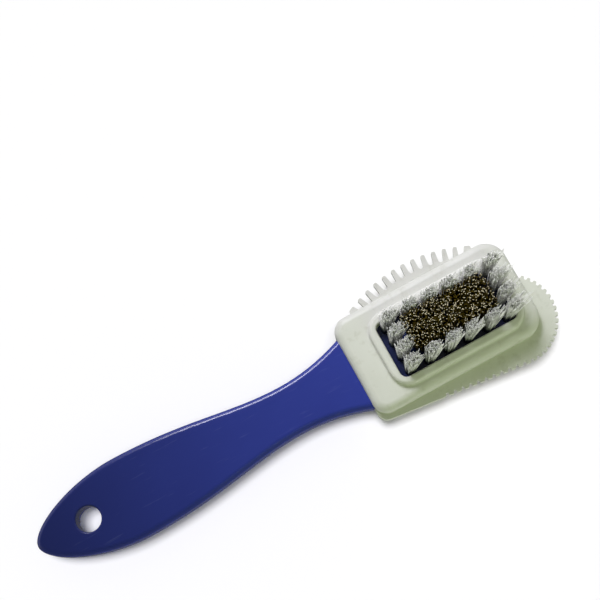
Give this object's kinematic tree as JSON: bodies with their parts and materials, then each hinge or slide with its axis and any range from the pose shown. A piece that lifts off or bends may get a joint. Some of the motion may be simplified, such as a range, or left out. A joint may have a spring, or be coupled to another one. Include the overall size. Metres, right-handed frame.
{
  "type": "suede brush",
  "caption": "Hand brush for suede: waisted plastic handle with hang hole, toothed rubber boot on the head, nylon and brass bristles on one face, cleaning block on the other.",
  "frame": {"origin": "middle of the hang hole, on the handle's mid-plane", "axes": "+X along the handle towards the tip of the head, +Z towards the bristles, +Y towards the coarse comb of the boot"},
  "size_m": [0.1779, 0.0471, 0.0298],
  "materials": {
    "handle_plastic": "moulded deep blue plastic, satin gloss",
    "boot_rubber": "moulded pale warm grey rubber, matte",
    "block_compound": "pressed cream cleaning compound, matte and slightly specked",
    "nylon_filament": "white translucent nylon filament",
    "brass_wire": "fine drawn brass wire with cut ends",
    "anchor_steel": "plain flat wire, hidden in the tuft holes"
  },
  "bodies": {
    "brush": {"handle": "handle_plastic", "rubber_boot": "boot_rubber", "nylon_tuft_row_1_column_1": "nylon_filament", "nylon_tuft_row_1_column_2": "nylon_filament", "nylon_tuft_row_1_column_3": "nylon_filament", "nylon_tuft_row_1_column_4": "nylon_filament", "nylon_tuft_row_1_column_5": "nylon_filament", "nylon_tuft_row_1_column_6": "nylon_filament", "nylon_tuft_row_2_column_1": "nylon_filament", "nylon_tuft_row_2_column_6": "nylon_filament", "nylon_tuft_row_3_column_1": "nylon_filament", "nylon_tuft_row_3_column_6": "nylon_filament", "nylon_tuft_row_4_column_1": "nylon_filament", "nylon_tuft_row_4_column_2": "nylon_filament", "nylon_tuft_row_4_column_3": "nylon_filament", "nylon_tuft_row_4_column_4": "nylon_filament", "nylon_tuft_row_4_column_5": "nylon_filament", "nylon_tuft_row_4_column_6": "nylon_filament", "brass_tuft_row_2_column_2": "brass_wire", "brass_tuft_row_2_column_3": "brass_wire", "brass_tuft_row_2_column_4": "brass_wire", "brass_tuft_row_2_column_5": "brass_wire", "brass_tuft_row_3_column_2": "brass_wire", "brass_tuft_row_3_column_3": "brass_wire", "brass_tuft_row_3_column_4": "brass_wire", "brass_tuft_row_3_column_5": "brass_wire", "tuft_anchors": "anchor_steel"},
    "block": {"cleaning_block": "block_compound"}
  },
  "joints": [
    {"name": "block_lift_out", "type": "slide", "parent": "brush", "child": "block", "axis": [0, 0, -1], "range_m": [0, 0.01]}
  ]
}
